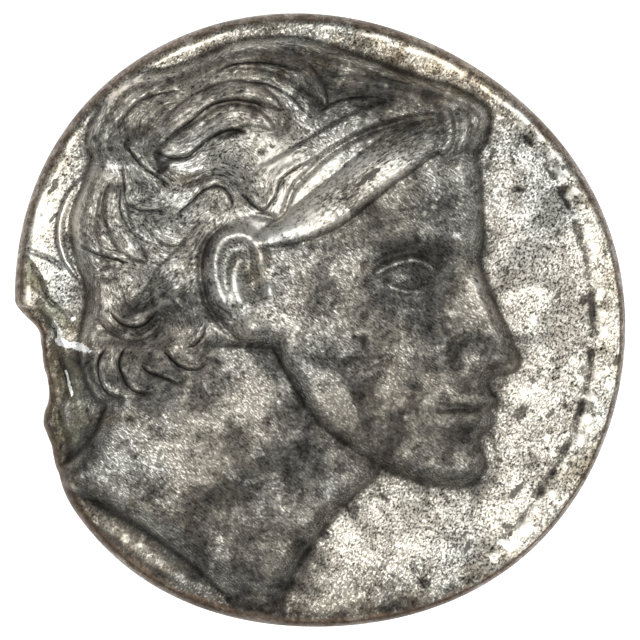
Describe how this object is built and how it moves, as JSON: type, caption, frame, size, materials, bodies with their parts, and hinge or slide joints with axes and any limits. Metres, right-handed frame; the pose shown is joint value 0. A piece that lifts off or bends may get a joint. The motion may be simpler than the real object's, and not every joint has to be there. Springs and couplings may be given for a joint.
{
  "type": "silver tetradrachm coin",
  "caption": "Hand-struck ancient silver coin lying flat, with a high-relief head in profile, a broken left edge and dark patina.",
  "frame": {"origin": "middle of the bounding box on the ground, under the coin", "axes": "+Z out of the obverse (the head), +Y towards the top of the head, +X the way the head faces"},
  "size_m": [0.029, 0.0292, 0.004],
  "materials": {
    "coin": null
  },
  "bodies": {
    "root": {"coin": "coin"}
  },
  "joints": []
}
